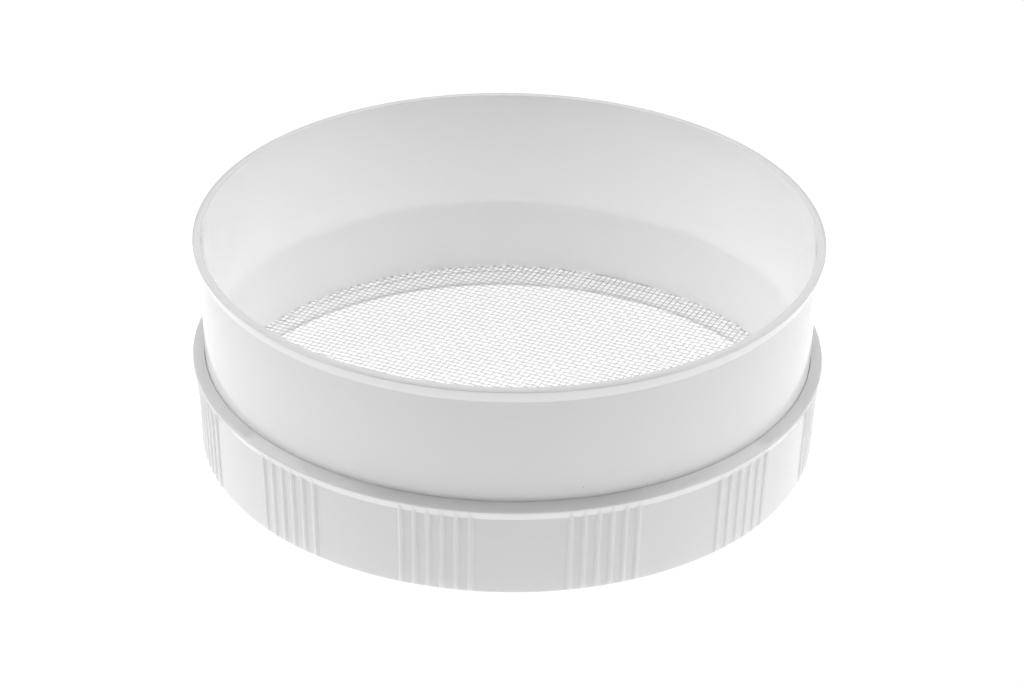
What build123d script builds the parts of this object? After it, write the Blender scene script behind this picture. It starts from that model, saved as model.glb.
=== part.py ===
from build123d import *
import math
import os

# ---- driving dimensions, millimetres; +Z up; the fine sieve stands on z = 0 ----

# coarse sieve body: the tall upper ring with the beaded rim
BODY_RIM_R = 100.0            # outermost radius of the rim bead
BODY_RIM_TOP = 72.3           # highest point of the part
BODY_RIM_LOW = 67.9           # lower end of the bead's leaning side
BODY_RIM_LOW_R = 98.65
BODY_WALL_TOP_R = 98.1        # outer radius of the wall just under the bead
BODY_WALL_MID_R = 97.0        # outer radius where the wall enters the fine sieve
BODY_WALL_MID_Z = 33.0
BODY_FOOT_R = 96.6            # outer radius of the nested lower end
BODY_INNER_TOP_R = 97.25
BODY_INNER_LOW_R = 95.3
BODY_MESH_SEAT_Z = 8.0        # lower face of the wall, on the coarse mesh
TONGUE_R = 96.0               # outer radius of the thinned tongue above the mesh
TONGUE_TOP_Z = 9.6

# coarse mesh: plain weave of round wire
WIRE_D = 0.3
WARP_PITCH = 1.89
WEFT_PITCH = 2.06
MESH_TURN = 65.7              # direction of the warp wires from +X, degrees
WIRE_END_R = 95.9             # the wires end under the tongue
WIRE_GAP = 0.02                # clearance over, between and under the two layers
LAST_WIRE_R = 94.9            # no wire runs further out than this

# coarse mesh retaining ring: an L section round the tongue
COARSE_HOOP_IN_R = 95.35
COARSE_HOOP_UP_R = 96.05      # inner radius of its upstand
COARSE_HOOP_LOW_Z = 5.6

# fine sieve body: the short ribbed ring with the rolled lip
SHELL_FOOT_R = 98.1
SHELL_NECK_R = 99.35          # outer radius of the wall just under the lip
SHELL_LIP_R = 100.95          # widest part of the lip
SHELL_LIP_WIDE_Z = 30.6       # height of the widest part
SHELL_LIP_LOW_R = 99.75
SHELL_LIP_LOW_Z = 27.6        # lower end of the lip's leaning side
SHELL_TOP_Z = 32.4
SHELL_MOUTH_R = 97.35
SHELL_STEP_R = 96.95          # inner radius just above the internal step
SHELL_STEP_Z = 5.5
SHELL_SEAT_R = 96.2           # bore that takes the fine mesh and its ring
SHELL_FLANGE_R = 95.2
SHELL_FLANGE_T = 0.6

# grip ribs on the fine sieve body
RIB_GROUPS = 12
RIBS_PER_GROUP = 6
RIB_STEP = 2.5                # degrees from rib to rib
FIRST_GROUP_TURN = -72.2      # direction of the middle of the first group from +X, degrees
RIB_R = 1.1
RIB_HEIGHT = 0.62             # how far a rib stands out of the wall
RIB_LOW_Z = 0.5

# fine mesh and its retaining ring
CLOTH_R = 96.1
CLOTH_T = 0.2
CLOTH_GAP = 0.005             # clearance under the cloth, and the same over it
FINE_HOOP_IN_R = 95.3
FINE_HOOP_OUT_R = 96.15


def section(points, rounded):
    """A closed (radius, height) outline; rounded maps corner numbers to fillet radii."""
    with BuildSketch(Plane.XZ) as outline:
        with BuildLine():
            Polyline(*points, close=True)
        make_face()
        for number, radius in rounded.items():
            x, z = points[number]
            near = outline.vertices().sort_by_distance(Vector(x, z, 0))
            fillet(near[0], radius)
    return outline.sketch


# ---- coarse sieve body ----

body_outline = [
    (BODY_INNER_LOW_R, BODY_MESH_SEAT_Z),
    (TONGUE_R, BODY_MESH_SEAT_Z),
    (TONGUE_R, TONGUE_TOP_Z),
    (BODY_FOOT_R, TONGUE_TOP_Z),
    (BODY_WALL_MID_R, BODY_WALL_MID_Z),
    (BODY_WALL_TOP_R, BODY_RIM_LOW - 0.3),
    (BODY_RIM_LOW_R, BODY_RIM_LOW),
    (BODY_RIM_R + 0.1, BODY_RIM_TOP - 0.4),
    (BODY_RIM_R - 1.2, BODY_RIM_TOP),
    (BODY_INNER_TOP_R, BODY_RIM_TOP - 0.1),
]
with BuildPart() as coarse_sieve_body:
    add(section(body_outline, {9: 0.35, 8: 1.5, 7: 0.6, 6: 0.5, 5: 0.25, 0: 0.3}))
    revolve(axis=Axis.Z)
coarse_sieve_body.part.label = "coarse_sieve_body"

# ---- coarse mesh: two layers of wires, the weft on top ----

weft_z = BODY_MESH_SEAT_Z - WIRE_GAP - WIRE_D / 2
warp_z = weft_z - WIRE_D - WIRE_GAP
mesh_low_z = warp_z - WIRE_D / 2 - WIRE_GAP


def wire_offsets(pitch):
    """Even offsets from the centre line, out to the last whole wire."""
    count = int(LAST_WIRE_R // pitch)
    return [n * pitch for n in range(-count, count + 1)]


def wire_ends(turn, pitch, height):
    """Round wire sections side by side, on the upright plane square to the wires."""
    along = math.radians(turn)
    across = math.radians(turn - 90)
    end_on = Plane(
        origin=(0, 0, height),
        x_dir=(math.cos(across), math.sin(across), 0),
        z_dir=(math.cos(along), math.sin(along), 0),
    )
    with BuildSketch(end_on) as ends:
        with Locations(*[(x, 0) for x in wire_offsets(pitch)]):
            Circle(WIRE_D / 2)
    return ends.sketch


with BuildPart() as warp_wires:
    extrude(wire_ends(MESH_TURN, WARP_PITCH, warp_z), amount=BODY_RIM_R, both=True)
    with Locations((0, 0, warp_z)):
        Cylinder(WIRE_END_R, 10 * WIRE_D, mode=Mode.INTERSECT)
warp_wires.part.label = "coarse_mesh_warp_wires"

with BuildPart() as weft_wires:
    extrude(wire_ends(MESH_TURN + 90, WEFT_PITCH, weft_z), amount=BODY_RIM_R, both=True)
    with Locations((0, 0, weft_z)):
        Cylinder(WIRE_END_R, 10 * WIRE_D, mode=Mode.INTERSECT)
weft_wires.part.label = "coarse_mesh_weft_wires"

# ---- coarse mesh retaining ring ----

coarse_hoop_outline = [
    (COARSE_HOOP_IN_R, COARSE_HOOP_LOW_Z),
    (BODY_FOOT_R, COARSE_HOOP_LOW_Z),
    (BODY_FOOT_R, TONGUE_TOP_Z - 0.05),
    (COARSE_HOOP_UP_R, TONGUE_TOP_Z - 0.05),
    (COARSE_HOOP_UP_R, mesh_low_z),
    (COARSE_HOOP_IN_R, mesh_low_z),
]
with BuildPart() as coarse_mesh_ring:
    add(section(coarse_hoop_outline, {1: 0.3, 0: 0.2}))
    revolve(axis=Axis.Z)
coarse_mesh_ring.part.label = "coarse_mesh_retaining_ring"

# ---- grip ribs: round bars along the leaning wall, with rounded lower ends ----

wall_lean = (SHELL_NECK_R - SHELL_FOOT_R) / SHELL_LIP_LOW_Z
rib_centre_r = SHELL_FOOT_R + RIB_HEIGHT - RIB_R
rib_high_z = SHELL_LIP_LOW_Z + 0.8
rib_room = [
    (SHELL_FOOT_R - 0.6, RIB_LOW_Z),
    (SHELL_FOOT_R + RIB_HEIGHT + 0.1, RIB_LOW_Z),
    (SHELL_NECK_R + RIB_HEIGHT + 0.1, rib_high_z),
    (SHELL_NECK_R - 0.6, rib_high_z),
]


def rib_directions():
    """Direction of every rib from +X, in radians."""
    half_group = (RIBS_PER_GROUP - 1) / 2 * RIB_STEP
    turns = []
    for group in range(RIB_GROUPS):
        for number in range(RIBS_PER_GROUP):
            turn = FIRST_GROUP_TURN - half_group + group * 360 / RIB_GROUPS + number * RIB_STEP
            turns.append(math.radians(turn))
    return turns


with BuildPart() as ribs:
    for turn in rib_directions():
        out = Vector(math.cos(turn), math.sin(turn), 0)
        with BuildSketch(Plane(origin=out * rib_centre_r, z_dir=out * wall_lean + Vector(0, 0, 1))):
            Circle(RIB_R)
    extrude(amount=rib_high_z + 1)
    add(section(rib_room, {1: 0.9}))
    revolve(axis=Axis.Z, mode=Mode.INTERSECT)

# ---- fine sieve body ----

shell_outline = [
    (SHELL_FLANGE_R, 0),
    (SHELL_FOOT_R, 0),
    (SHELL_NECK_R, SHELL_LIP_LOW_Z - 0.25),
    (SHELL_LIP_LOW_R, SHELL_LIP_LOW_Z),
    (SHELL_LIP_R + 0.2, SHELL_LIP_WIDE_Z + 0.2),
    (SHELL_MOUTH_R + 0.2, SHELL_TOP_Z),
    (SHELL_MOUTH_R, SHELL_TOP_Z - 0.4),
    (SHELL_STEP_R, SHELL_STEP_Z),
    (SHELL_SEAT_R, SHELL_STEP_Z),
    (SHELL_SEAT_R, SHELL_FLANGE_T),
    (SHELL_FLANGE_R, SHELL_FLANGE_T),
]
with BuildPart() as fine_sieve_body:
    add(section(shell_outline, {1: 0.8, 3: 0.3, 4: 0.8, 5: 0.3}))
    revolve(axis=Axis.Z)
    add(ribs.part)
fine_sieve_body.part.label = "fine_sieve_body"

# ---- fine mesh and its retaining ring ----

cloth_low_z = SHELL_FLANGE_T + CLOTH_GAP
with BuildPart() as fine_mesh:
    with BuildSketch(Plane.XY.offset(cloth_low_z)):
        Circle(CLOTH_R)
    extrude(amount=CLOTH_T)
fine_mesh.part.label = "fine_mesh_cloth"

fine_hoop_low_z = cloth_low_z + CLOTH_T + CLOTH_GAP
fine_hoop_outline = [
    (FINE_HOOP_IN_R, fine_hoop_low_z),
    (FINE_HOOP_OUT_R, fine_hoop_low_z),
    (FINE_HOOP_OUT_R, SHELL_STEP_Z),
    (FINE_HOOP_IN_R, SHELL_STEP_Z),
]
with BuildPart() as fine_mesh_ring:
    add(section(fine_hoop_outline, {3: 0.2}))
    revolve(axis=Axis.Z)
fine_mesh_ring.part.label = "fine_mesh_retaining_ring"

# ---- files ----

pieces = [
    coarse_sieve_body,
    warp_wires,
    weft_wires,
    coarse_mesh_ring,
    fine_sieve_body,
    fine_mesh,
    fine_mesh_ring,
]
os.makedirs("parts", exist_ok=True)
for piece in pieces:
    export_step(piece.part, f"parts/{piece.part.label}.step")
    solids = piece.part.solids()
    print(piece.part.label, len(solids), "solids", round(piece.part.volume, 1), "mm3")
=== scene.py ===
import bpy
import math
import numpy as np
from mathutils import Matrix, Vector


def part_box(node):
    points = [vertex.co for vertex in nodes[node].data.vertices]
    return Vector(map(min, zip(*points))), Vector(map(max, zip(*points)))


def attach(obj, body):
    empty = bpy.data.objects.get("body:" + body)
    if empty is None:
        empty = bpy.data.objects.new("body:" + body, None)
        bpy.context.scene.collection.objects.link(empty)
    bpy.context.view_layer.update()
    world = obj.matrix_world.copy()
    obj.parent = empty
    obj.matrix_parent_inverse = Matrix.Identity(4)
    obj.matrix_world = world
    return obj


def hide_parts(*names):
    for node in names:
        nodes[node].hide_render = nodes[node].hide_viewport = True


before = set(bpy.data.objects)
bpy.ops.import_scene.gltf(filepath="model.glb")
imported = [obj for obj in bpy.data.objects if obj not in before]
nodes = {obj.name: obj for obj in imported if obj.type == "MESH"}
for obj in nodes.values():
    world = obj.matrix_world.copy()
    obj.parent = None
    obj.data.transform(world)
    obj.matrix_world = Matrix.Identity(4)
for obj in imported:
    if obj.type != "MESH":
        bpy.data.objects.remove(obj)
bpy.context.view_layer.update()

MM = 0.001

# ---- camera ----

RIM_CENTRE_Z = 72.0 * MM          # the camera aims near the middle of the upper rim
CAMERA_DISTANCE = 1.23548
CAMERA_ELEVATION = 0.490493       # radians above the horizon
CAMERA_PAN = -0.00108509
CAMERA_TILT = -0.02803443
CAMERA_ROLL = -0.01592543
CAMERA_LENS = 137.44              # millimetres, on a 36 mm sensor


def turned(vector, axis, angle):
    return Matrix.Rotation(angle, 3, axis) @ vector


def make_camera():
    data = bpy.data.cameras.new("camera")
    data.sensor_width = 36
    data.lens = CAMERA_LENS
    data.clip_start = 0.05
    data.clip_end = 60
    camera = bpy.data.objects.new("camera", data)
    bpy.context.scene.collection.objects.link(camera)
    sin_e, cos_e = math.sin(CAMERA_ELEVATION), math.cos(CAMERA_ELEVATION)
    forward = Vector((0, cos_e, -sin_e))
    right = Vector((1, 0, 0))
    up = right.cross(forward)
    forward, right = turned(forward, up, CAMERA_PAN), turned(right, up, CAMERA_PAN)
    forward, up = turned(forward, right, CAMERA_TILT), turned(up, right, CAMERA_TILT)
    right, up = turned(right, forward, CAMERA_ROLL), turned(up, forward, CAMERA_ROLL)
    rows = Matrix((right, up, -forward)).transposed()
    place = Vector((0, -CAMERA_DISTANCE * cos_e, RIM_CENTRE_Z + CAMERA_DISTANCE * sin_e))
    camera.matrix_world = Matrix.Translation(place) @ rows.to_4x4()
    bpy.context.scene.camera = camera


make_camera()

# ---- shader helper ----


class Nodes:
    """A short way to add nodes to one material and link them."""

    def __init__(self, name):
        self.material = bpy.data.materials.new(name)
        self.material.use_nodes = True
        self.tree = self.material.node_tree
        self.tree.nodes.clear()
        self.out = self.tree.nodes.new("ShaderNodeOutputMaterial")

    def add(self, kind, **settings):
        node = self.tree.nodes.new("ShaderNode" + kind)
        for key, value in settings.items():
            if hasattr(node, key) and key not in node.inputs:
                setattr(node, key, value)
            else:
                self.put(node, key, value)
        return node

    def put(self, node, key, value):
        socket = node.inputs[key]
        if isinstance(value, bpy.types.NodeSocket):
            self.tree.links.new(value, socket)
        else:
            socket.default_value = value

    def math(self, operation, a, b=0.0, clamp=False):
        node = self.tree.nodes.new("ShaderNodeMath")
        node.operation = operation
        node.use_clamp = clamp
        self.put(node, 0, a)
        self.put(node, 1, b)
        return node.outputs[0]

    def ramp(self, value, low, high, out_low, out_high):
        node = self.tree.nodes.new("ShaderNodeMapRange")
        node.interpolation_type = "SMOOTHSTEP"
        self.put(node, "Value", value)
        self.put(node, "From Min", low)
        self.put(node, "From Max", high)
        self.put(node, "To Min", out_low)
        self.put(node, "To Max", out_high)
        return node.outputs[0]

    def mix_colour(self, share, a, b):
        node = self.tree.nodes.new("ShaderNodeMix")
        node.data_type = "RGBA"
        self.put(node, 0, share)
        self.put(node, 6, a)
        self.put(node, 7, b)
        return node.outputs[2]


# ---- studio ----

FLOOR_GLOW = 1.01                 # a white floor that shows no shadow
POOL_GLOW = 1.22                  # a pool of light round the sieve
POOL_IN_R = 0.115
FLOOR_Z = -0.05 * MM              # just clear of the foot
FLOOR_HALF = 6.0
POOL_OUT_R = 0.24
TABLE_GLOW = 1.47                 # the light table under the sieve
TABLE_R = 0.0955
BOWL_GLOW = 0.65                  # light that the mesh throws up into the bowl
BOWL_GLOW_R = 0.094
BOWL_GLOW_Z = 0.85 * MM
ROOM_LIGHT = 0.05
SIDE_LIGHT = 0.5
SHOULDER_LIGHT = 2.3
TOP_LIGHT = 0.6
BACK_LIGHT = 0.65
RIGHT_SHARE = 0.95                # the right side is lit a little less than the left
LAMP_AIM = (0, 0, 0.05)


def floor_glow():
    n = Nodes("glowing_floor_painted_light_pool")
    place = n.add("TexCoord").outputs["Object"]
    reach = n.add("VectorMath", operation="LENGTH")
    n.tree.links.new(place, reach.inputs[0])
    reach = reach.outputs["Value"]
    # painted light: the floor's own glow is raised in a pool round the sieve and falls off to the
    # even floor glow further out
    pool = n.ramp(reach, POOL_IN_R, POOL_OUT_R, POOL_GLOW, FLOOR_GLOW)
    on_table = n.math("SUBTRACT", 1.0, n.math("GREATER_THAN", reach, TABLE_R))
    extra = n.math("MULTIPLY", on_table, TABLE_GLOW - POOL_GLOW)
    glow = n.add("Emission", Color=(1, 1, 1, 1), Strength=n.math("ADD", pool, extra))
    n.tree.links.new(glow.outputs[0], n.out.inputs["Surface"])
    return n.material


def make_world():
    """White to the camera, and a faint even light to everything else."""
    world = bpy.data.worlds.new("studio")
    bpy.context.scene.world = world
    world.use_nodes = True
    tree = world.node_tree
    tree.nodes.clear()
    out = tree.nodes.new("ShaderNodeOutputWorld")
    mix = tree.nodes.new("ShaderNodeMixShader")
    seen = tree.nodes.new("ShaderNodeBackground")
    seen.inputs["Color"].default_value = (1, 1, 1, 1)
    light = tree.nodes.new("ShaderNodeBackground")
    light.inputs["Color"].default_value = (ROOM_LIGHT, ROOM_LIGHT, ROOM_LIGHT, 1)
    path = tree.nodes.new("ShaderNodeLightPath")
    tree.links.new(path.outputs["Is Camera Ray"], mix.inputs[0])
    tree.links.new(light.outputs[0], mix.inputs[1])
    tree.links.new(seen.outputs[0], mix.inputs[2])
    tree.links.new(mix.outputs[0], out.inputs["Surface"])


def make_floor():
    mesh = bpy.data.meshes.new("floor")
    s, z = FLOOR_HALF, FLOOR_Z
    mesh.from_pydata([(-s, -s, z), (s, -s, z), (s, s, z), (-s, s, z)], [], [(0, 1, 2, 3)])
    floor = bpy.data.objects.new("floor", mesh)
    bpy.context.scene.collection.objects.link(floor)
    mesh.materials.append(floor_glow())


def make_panels():
    """Area lamps round the sieve, all aimed at it: name, place, width, height, radiance."""
    for name, place, wide, high, radiance in (
        ("left_panel", (-1.5, 0.35, 0.75), 2.2, 1.4, SIDE_LIGHT),
        ("right_panel", (1.5, 0.35, 0.75), 2.2, 1.4, RIGHT_SHARE * SIDE_LIGHT),
        ("left_shoulder", (-1.15, 0.25, 1.35), 1.5, 1.1, SHOULDER_LIGHT),
        ("right_shoulder", (1.15, 0.25, 1.35), 1.5, 1.1, RIGHT_SHARE * SHOULDER_LIGHT),
        ("top_panel", (0, 0.1, 1.7), 1.0, 2.0, TOP_LIGHT),
        ("back_panel", (0, 1.6, 1.25), 2.2, 0.9, BACK_LIGHT),
    ):
        data = bpy.data.lights.new(name, "AREA")
        data.shape = "RECTANGLE"
        data.size = wide
        data.size_y = high
        data.energy = radiance * math.pi * wide * high
        lamp = bpy.data.objects.new(name, data)
        lamp.location = place
        lamp.visible_camera = False
        aim = Vector(LAMP_AIM) - lamp.location
        lamp.rotation_euler = aim.to_track_quat("-Z", "Y").to_euler()
        bpy.context.scene.collection.objects.link(lamp)


def make_bowl_glow():
    """A disc that faces up, just over the fine cloth."""
    data = bpy.data.lights.new("bowl_glow", "AREA")
    data.shape = "DISK"
    data.size = 2 * BOWL_GLOW_R
    data.energy = BOWL_GLOW * math.pi * math.pi * BOWL_GLOW_R ** 2
    lamp = bpy.data.objects.new("bowl_glow", data)
    lamp.location = (0, 0, BOWL_GLOW_Z)
    lamp.rotation_euler = (math.pi, 0, 0)
    lamp.visible_camera = False
    lamp.visible_glossy = False
    bpy.context.scene.collection.objects.link(lamp)


bpy.context.scene.view_settings.view_transform = "Standard"
make_world()
make_floor()
make_panels()
make_bowl_glow()

# ---- materials ----


PLASTIC_LOW = (0.897, 0.898, 0.900, 1)
PLASTIC_HIGH = (0.922, 0.922, 0.922, 1)
PLASTIC_SCATTER = 1.6 * MM        # how far light spreads inside the plastic
DUST_COLOUR = (0.33, 0.32, 0.31, 1)
DUST_COVER = 0.75
STEEL_LOW = (0.56, 0.56, 0.57, 1)
STEEL_HIGH = (0.70, 0.70, 0.70, 1)


def plastic(name, seed):
    """Glossy white moulded plastic: faint flow tone, fine surface ripple, a few dust specks."""
    n = Nodes(name)
    place = n.add("TexCoord").outputs["Object"]
    flow = n.add("TexNoise", Vector=place, Scale=14.0, Detail=2.0, noise_dimensions="4D", W=seed)
    fine = n.add("TexNoise", Vector=place, Scale=420.0, Detail=3.0)
    ripple = n.add("TexNoise", Vector=place, Scale=95.0, Detail=1.0)
    speck = n.add("TexVoronoi", Vector=place, Scale=85.0)
    rare = n.add("SeparateColor", Color=speck.outputs["Color"])
    near = n.ramp(speck.outputs["Distance"], 0.008, 0.022, 1.0, 0.0)
    chosen = n.math("GREATER_THAN", rare.outputs[0], 0.90)
    dust = n.math("MULTIPLY", near, chosen)
    tone = n.mix_colour(flow.outputs["Fac"], PLASTIC_LOW, PLASTIC_HIGH)
    colour = n.mix_colour(n.math("MULTIPLY", dust, DUST_COVER), tone, DUST_COLOUR)
    rough = n.ramp(ripple.outputs["Fac"], 0.3, 0.7, 0.04, 0.08)
    height = n.math("ADD", n.math("MULTIPLY", fine.outputs["Fac"], 0.25), ripple.outputs["Fac"])
    bump = n.add("Bump", Strength=0.03, Distance=0.0002, Height=height)
    shader = n.add(
        "BsdfPrincipled",
        **{
            "Base Color": colour,
            "Roughness": rough,
            "IOR": 1.49,
            "Normal": bump.outputs[0],
            "Subsurface Weight": 0.5,
            "Subsurface Radius": (PLASTIC_SCATTER, PLASTIC_SCATTER, PLASTIC_SCATTER),
            "Subsurface Scale": 1.0,
        },
    )
    n.tree.links.new(shader.outputs[0], n.out.inputs["Surface"])
    return n.material


def steel(name, seed):
    """Drawn stainless wire: bright, with a fine uneven tone and broad changes in its shine."""
    n = Nodes(name)
    place = n.add("TexCoord").outputs["Object"]
    tone = n.add("TexNoise", Vector=place, Scale=900.0, Detail=2.0, noise_dimensions="4D", W=seed)
    broad = n.add("TexNoise", Vector=place, Scale=30.0, Detail=1.0)
    colour = n.mix_colour(tone.outputs["Fac"], STEEL_LOW, STEEL_HIGH)
    rough = n.ramp(broad.outputs["Fac"], 0.3, 0.7, 0.28, 0.40)
    bump = n.add("Bump", Strength=0.15, Distance=0.00003, Height=tone.outputs["Fac"])
    shader = n.add(
        "BsdfPrincipled",
        **{"Base Color": colour, "Metallic": 1.0, "Roughness": rough, "Normal": bump.outputs[0]},
    )
    n.tree.links.new(shader.outputs[0], n.out.inputs["Surface"])
    return n.material


THREAD_PITCH = 0.55 * MM
OPEN_SHARE = 0.66                 # open part of each pitch, across one direction
THREAD_EDGE = 0.05                # softness of a thread's edge, as a share of the pitch
CLOTH_TURN = math.radians(31.0)
THREAD_COLOUR = (0.90, 0.90, 0.90, 1)
# painted shade: where the threads cross, the cloth is coloured darker, as shade where one thread
# lies over the other
CROSSING_SHADE_COLOUR = (0.80, 0.80, 0.80, 1)


def cloth(name):
    """Fine white nylon sieve cloth: crossed translucent threads with open holes between them."""
    n = Nodes(name)
    place = n.add("TexCoord").outputs["Object"]
    turned_place = n.add("VectorRotate", Vector=place, Angle=CLOTH_TURN)
    axis = n.add("SeparateXYZ", Vector=turned_place.outputs[0])
    covers = []
    for number in (0, 1):
        across = n.math("MULTIPLY", axis.outputs[number], 1 / THREAD_PITCH)
        phase = n.math("PINGPONG", across, 0.5)
        edge = OPEN_SHARE / 2
        covers.append(n.ramp(phase, edge - THREAD_EDGE, edge + THREAD_EDGE, 0.0, 1.0))
    thread = n.math("MAXIMUM", covers[0], covers[1])
    # the crossings of the two thread families, where painted shade darkens the colour
    crossing_shade_share = n.math("MULTIPLY", covers[0], covers[1])
    tone = n.mix_colour(crossing_shade_share, THREAD_COLOUR, CROSSING_SHADE_COLOUR)
    height = n.math("ADD", covers[0], covers[1])
    bump = n.add("Bump", Strength=0.4, Distance=0.00008, Height=height)
    solid = n.add(
        "BsdfPrincipled",
        **{"Base Color": tone, "Roughness": 0.45, "Normal": bump.outputs[0]},
    )
    through = n.add("BsdfTranslucent", Color=tone)
    body = n.add("MixShader")
    body.inputs[0].default_value = 0.5
    n.tree.links.new(solid.outputs[0], body.inputs[1])
    n.tree.links.new(through.outputs[0], body.inputs[2])
    hole = n.add("BsdfTransparent")
    mix = n.add("MixShader")
    n.tree.links.new(thread, mix.inputs[0])
    n.tree.links.new(hole.outputs[0], mix.inputs[1])
    n.tree.links.new(body.outputs[0], mix.inputs[2])
    n.tree.links.new(mix.outputs[0], n.out.inputs["Surface"])
    return n.material


plastic_coarse = plastic("white_plastic_coarse_sieve", 1.0)
plastic_fine = plastic("white_plastic_fine_sieve", 2.0)

for name, material in (
    ("coarse_mesh_retaining_ring", plastic_coarse),
    ("fine_mesh_retaining_ring", plastic_fine),
):
    mesh = nodes[name].data
    for number in range(len(mesh.materials)):
        mesh.materials[number] = material

# ---- turned bodies ----

ARC_STEPS = 6                     # segments in each rounded corner
NEAR_CORNER = 0.25                # an extra point this far from each rounded corner
LONGEST_STEP = 3.0                # longest straight step along an outline
SHARP_R = 0.08                    # radius of a corner that is given none


def rounded_outline(points, radii):
    """A closed (radius, height) outline with arcs at its corners and short steps between them."""
    count = len(points)
    corners = []
    for number, point in enumerate(points):
        here = Vector(point)
        before = Vector(points[number - 1])
        after = Vector(points[(number + 1) % count])
        to_before = (before - here).normalized()
        to_after = (after - here).normalized()
        half = to_before.angle(to_after) / 2
        radius = radii.get(number, SHARP_R)
        inset = radius / math.tan(half)
        centre = here + (to_before + to_after).normalized() * radius / math.sin(half)
        start = here + to_before * inset - centre
        sweep = start.angle_signed(here + to_after * inset - centre)
        arc = []
        for step in range(ARC_STEPS + 1):
            turn = -sweep * step / ARC_STEPS
            c, d = math.cos(turn), math.sin(turn)
            arc.append(centre + Vector((c * start.x - d * start.y, d * start.x + c * start.y)))
        corners.append(arc)
    outline = []
    for number, arc in enumerate(corners):
        outline += arc
        first, last = arc[-1], corners[(number + 1) % count][0]
        length = (last - first).length
        along = (last - first).normalized()
        if length > 3 * NEAR_CORNER:
            outline.append(first + along * NEAR_CORNER)
            inner = length - 2 * NEAR_CORNER
            steps = max(1, math.ceil(inner / LONGEST_STEP))
            for step in range(1, steps + 1):
                outline.append(first + along * (NEAR_CORNER + inner * step / steps))
    return [(p.x, p.y) for p in outline]


def turned_mesh(name, outline, turns, reach=None):
    """The outline carried round Z at every turn.

    reach(radius, height, turn) may push a point out.
    """
    rows = []
    for turn in turns:
        for r, z in outline:
            if reach is not None:
                r = reach(r, z, turn)
            rows.append((r * MM * math.cos(turn), r * MM * math.sin(turn), z * MM))
    count, around = len(outline), len(turns)
    faces = []
    for column in range(around):
        here, after = column * count, (column + 1) % around * count
        for row in range(count):
            up = (row + 1) % count
            faces.append((here + row, after + row, after + up, here + up))
    return mesh_object(name, np.array(rows), np.array(faces))


def mesh_object(name, vertices, faces):
    mesh = bpy.data.meshes.new(name)
    mesh.from_pydata(vertices.tolist(), [], faces.tolist())
    mesh.validate()
    mesh.shade_smooth()
    made = bpy.data.objects.new(name, mesh)
    bpy.context.scene.collection.objects.link(made)
    return made


def dress(piece, body, node, material):
    piece.data.materials.append(material)
    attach(piece, body)
    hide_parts(node)


COARSE_OUTLINE = [
    (95.3, 7.36),                 # closed down to the retaining ring, with the wires set in it
    (96.0, 7.36),
    (96.0, 9.6),
    (96.6, 9.6),
    (97.0, 33.0),
    (98.1, 67.6),
    (98.65, 67.9),                # lower end of the bead
    (100.1, 71.82),
    (98.8, 72.34),               # the rounded top slopes down outwards
    (97.25, 72.2),
]
COARSE_ROUNDS = {4: 20.0, 5: 0.25, 6: 0.5, 7: 0.4, 8: 4.0, 9: 0.3}
COARSE_TURNS = 288
even_turns = [2 * math.pi * n / COARSE_TURNS for n in range(COARSE_TURNS)]
coarse_body = turned_mesh(
    "coarse_sieve_ring", rounded_outline(COARSE_OUTLINE, COARSE_ROUNDS), even_turns
)
dress(coarse_body, "coarse_sieve", "coarse_sieve_body", plastic_coarse)

FINE_OUTLINE = [
    (95.2, 0.0),
    (98.1, 0.0),
    (99.35, 27.35),
    (99.75, 27.6),                # lower edge of the lip
    (101.15, 30.8),
    (97.35, 32.4),
    (97.03, 32.0),                # the mouth, close round the coarse sieve
    (97.3, 31.0),
    (96.95, 5.5),
    (96.2, 5.5),
    (96.2, 0.6),
    (95.2, 0.6),
]
FINE_ROUNDS = {1: 0.8, 3: 0.25, 4: 0.8, 5: 0.12, 6: 0.15, 7: 1.0}
FOOT_R = 98.1
WALL_LEAN = 1.25 / 27.6           # the wall leans out by 1.25 up to the lip's lower edge
WALL_BAND = 1.0                   # points further in than this from the outer wall are left alone
RIB_R = 1.1
RIB_HEIGHT = 0.62
RIB_HALF_WIDTH = math.sqrt(RIB_R ** 2 - (RIB_R - RIB_HEIGHT) ** 2)
RIB_SIDE_SLOPE = 2.06             # how fast the rise falls on past a rib's edge
RIB_BLEND = 0.07                  # softness of the foot of a rib
RIB_LOW_Z = 0.5
RIB_END_LENGTH = 0.9
RIB_HIGH_Z = 29.5
RIB_TOP_GROWTH = 0.5              # the ribs stand this much taller where they run into the lip
RIB_GROWTH_Z = 20.0
LIP_LOW_Z = 27.6
RIB_STEP = math.radians(2.5)
RIB_GROUPS = 12
RIBS_PER_GROUP = 6
FIRST_GROUP_TURN = math.radians(-72.2)
RIB_SAMPLES = (
    -1.35, -1.15, -1.0, -0.9, -0.75, -0.5, -0.25, 0, 0.25, 0.5, 0.75, 0.9, 1.0, 1.15, 1.35
)
PLAIN_STEP = math.radians(1.5)    # spacing of the turns between ribs


def rib_turns():
    turns = []
    for group in range(RIB_GROUPS):
        for number in range(RIBS_PER_GROUP):
            aside = number - (RIBS_PER_GROUP - 1) / 2
            turns.append(FIRST_GROUP_TURN + group * 2 * math.pi / RIB_GROUPS + aside * RIB_STEP)
    return turns


RIB_TURNS = rib_turns()


def rib_rise(turn):
    """How far the nearest rib stands out of the wall at this turn, in millimetres."""
    aside = min(abs(math.remainder(turn - rib, 2 * math.pi)) for rib in RIB_TURNS) * FOOT_R
    if aside < RIB_HALF_WIDTH:
        rise = math.sqrt(RIB_R ** 2 - aside ** 2) - (RIB_R - RIB_HEIGHT)
    else:
        rise = (RIB_HALF_WIDTH - aside) * RIB_SIDE_SLOPE
    return (rise + math.sqrt(rise ** 2 + RIB_BLEND ** 2)) / 2


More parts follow.
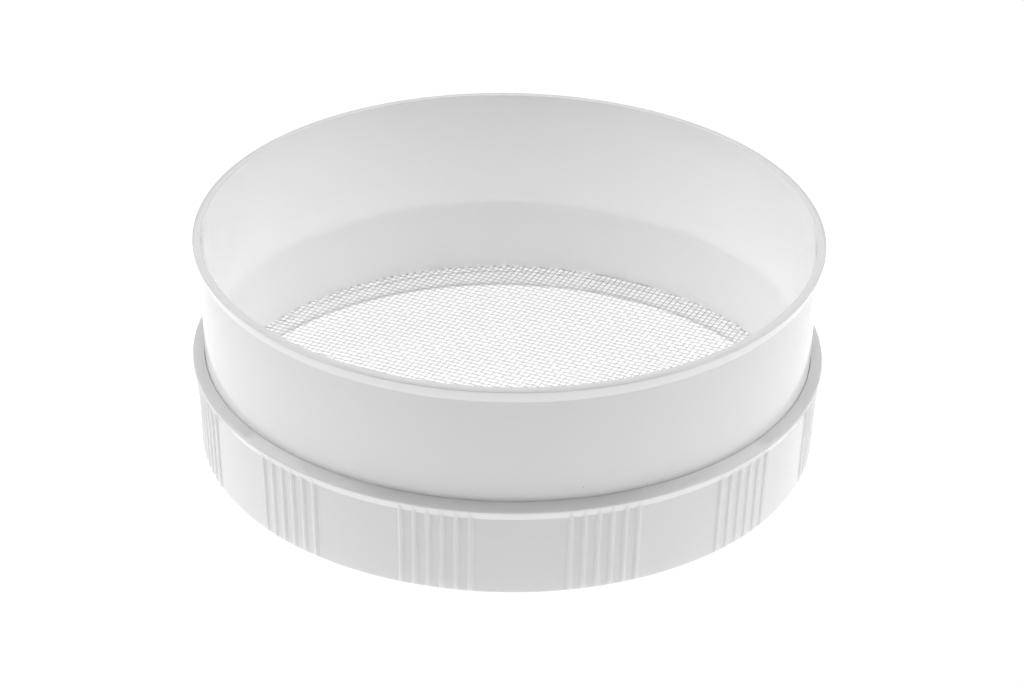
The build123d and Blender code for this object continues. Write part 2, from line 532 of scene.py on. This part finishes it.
def ribbed_turns():
    """Turns round the body, close together on the ribs and wider apart between them."""
    half = RIB_HALF_WIDTH / FOOT_R
    turns = []
    for number, rib in enumerate(RIB_TURNS):
        turns += [rib + share * half for share in RIB_SAMPLES]
        start = rib + RIB_SAMPLES[-1] * half
        following = RIB_TURNS[(number + 1) % len(RIB_TURNS)] + RIB_SAMPLES[0] * half
        gap = (following - start) % (2 * math.pi)
        steps = max(2, round(gap / PLAIN_STEP))
        turns += [start + gap * step / steps for step in range(1, steps)]
    return turns


RISES = {turn: rib_rise(turn) for turn in ribbed_turns()}


def ribbed(r, z, turn):
    """Pushes the outer wall out to the ribs, which run from the foot into the lip."""
    wall = FOOT_R + WALL_LEAN * min(z, LIP_LOW_Z)
    if r < wall - WALL_BAND or z < RIB_LOW_Z or z > RIB_HIGH_Z:
        return r
    ended = min(1.0, (z - RIB_LOW_Z) / RIB_END_LENGTH)
    grown = max(0.0, min(1.0, (z - RIB_GROWTH_Z) / (LIP_LOW_Z - RIB_GROWTH_Z)))
    taller = 1 + RIB_TOP_GROWTH * grown
    return max(r, wall + RISES[turn] * taller * math.sqrt(1 - (1 - ended) ** 2))


fine_outline = rounded_outline(FINE_OUTLINE, FINE_ROUNDS)
fine_body = turned_mesh("fine_sieve_ring", fine_outline, list(RISES), ribbed)
dress(fine_body, "fine_sieve", "fine_sieve_body", plastic_fine)

# ---- coarse mesh: woven wires ----

WIRE_R = 0.14 * MM
WARP_SWING = 0.06 * MM            # the warp bends less than the weft
WEFT_SWING = 0.14 * MM
WARP_PITCH = 1.89 * MM
WEFT_PITCH = 2.06 * MM
MESH_TURN = math.radians(65.7)
WIRE_END_R = 95.9 * MM
LAST_WIRE_R = 94.9 * MM
SAMPLES_PER_CROSSING = 3
WIRE_SIDES = 6


def wire_rows(own_pitch, cross_pitch):
    """Each wire as (across, along, lift) arrays, passing over and under the other family."""
    count = int(LAST_WIRE_R / own_pitch)
    rows = []
    for number in range(-count, count + 1):
        across = number * own_pitch
        reach = math.sqrt(WIRE_END_R ** 2 - across ** 2)
        step = cross_pitch / SAMPLES_PER_CROSSING
        inner = int(reach / step)
        along = np.arange(-inner, inner + 1) * step
        along = np.concatenate(([-reach], along, [reach]))
        lift = np.cos(math.pi * along / cross_pitch + math.pi * number)
        rows.append((np.full(len(along), across), along, lift))
    return rows


def tubes(rows, direction, sideways, middle_z, swing):
    """Round tubes along the rows, as vertex and face arrays."""
    vertices, faces, first = [], [], 0
    turn = np.arange(WIRE_SIDES) * 2 * math.pi / WIRE_SIDES
    for across, along, lift in rows:
        points = (
            np.outer(along, direction)
            + np.outer(across, sideways)
            + np.outer(middle_z + swing * lift, (0, 0, 1))
        )
        tangent = np.gradient(points, axis=0)
        tangent /= np.linalg.norm(tangent, axis=1)[:, None]
        upward = np.cross(tangent, np.broadcast_to(sideways, tangent.shape))
        ring = (
            points[:, None, :]
            + WIRE_R * np.cos(turn)[None, :, None] * np.asarray(sideways)[None, None, :]
            + WIRE_R * np.sin(turn)[None, :, None] * upward[:, None, :]
        )
        vertices.append(ring.reshape(-1, 3))
        base = first + np.arange(len(along) - 1)[:, None] * WIRE_SIDES
        here = np.arange(WIRE_SIDES)[None, :]
        after = (here + 1) % WIRE_SIDES
        quads = np.stack(
            (base + here, base + after, base + after + WIRE_SIDES, base + here + WIRE_SIDES),
            axis=-1,
        ).reshape(-1, 4)
        faces.append(quads)
        first += len(along) * WIRE_SIDES
    return np.concatenate(vertices), np.concatenate(faces)


def make_wires(name, node, turn, own_pitch, cross_pitch, swing, seed):
    direction = np.array((math.cos(turn), math.sin(turn), 0))
    sideways = np.array((math.sin(turn), -math.cos(turn), 0))
    rows = wire_rows(own_pitch, cross_pitch)
    vertices, faces = tubes(rows, direction, sideways, MESH_MIDDLE_Z, swing)
    piece = mesh_object(name, vertices, faces)
    dress(piece, "coarse_sieve", node, steel(name + "_steel", seed))


warp_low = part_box("coarse_mesh_warp_wires")[0].z
weft_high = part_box("coarse_mesh_weft_wires")[1].z
MESH_MIDDLE_Z = (warp_low + weft_high) / 2

make_wires(
    "coarse_mesh_warp", "coarse_mesh_warp_wires", MESH_TURN, WARP_PITCH, WEFT_PITCH, WARP_SWING, 3.0
)
make_wires(
    "coarse_mesh_weft",
    "coarse_mesh_weft_wires",
    MESH_TURN + math.pi / 2,
    WEFT_PITCH,
    WARP_PITCH,
    -WEFT_SWING,
    4.0,
)

# ---- fine mesh: a stretched disc of cloth ----

cloth_low, cloth_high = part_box("fine_mesh_cloth")
CLOTH_R = (cloth_high.x - cloth_low.x) / 2
RINGS = 24
SPOKES = 128


def make_cloth():
    z = (cloth_low.z + cloth_high.z) / 2
    vertices = [(0, 0, z)]
    faces = []
    for ring in range(1, RINGS + 1):
        r = CLOTH_R * ring / RINGS
        for spoke in range(SPOKES):
            a = 2 * math.pi * spoke / SPOKES
            vertices.append((r * math.cos(a), r * math.sin(a), z))
    for spoke in range(SPOKES):
        after = (spoke + 1) % SPOKES
        faces.append((0, 1 + spoke, 1 + after))
        for ring in range(RINGS - 1):
            a = 1 + ring * SPOKES
            b = a + SPOKES
            faces.append((a + spoke, b + spoke, b + after, a + after))
    mesh = bpy.data.meshes.new("fine_mesh_nylon_cloth")
    mesh.from_pydata(vertices, [], faces)
    mesh.shade_smooth()
    piece = bpy.data.objects.new("fine_mesh_nylon_cloth", mesh)
    bpy.context.scene.collection.objects.link(piece)
    mesh.materials.append(cloth("white_nylon_sieve_cloth"))
    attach(piece, "fine_sieve")
    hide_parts("fine_mesh_cloth")


make_cloth()
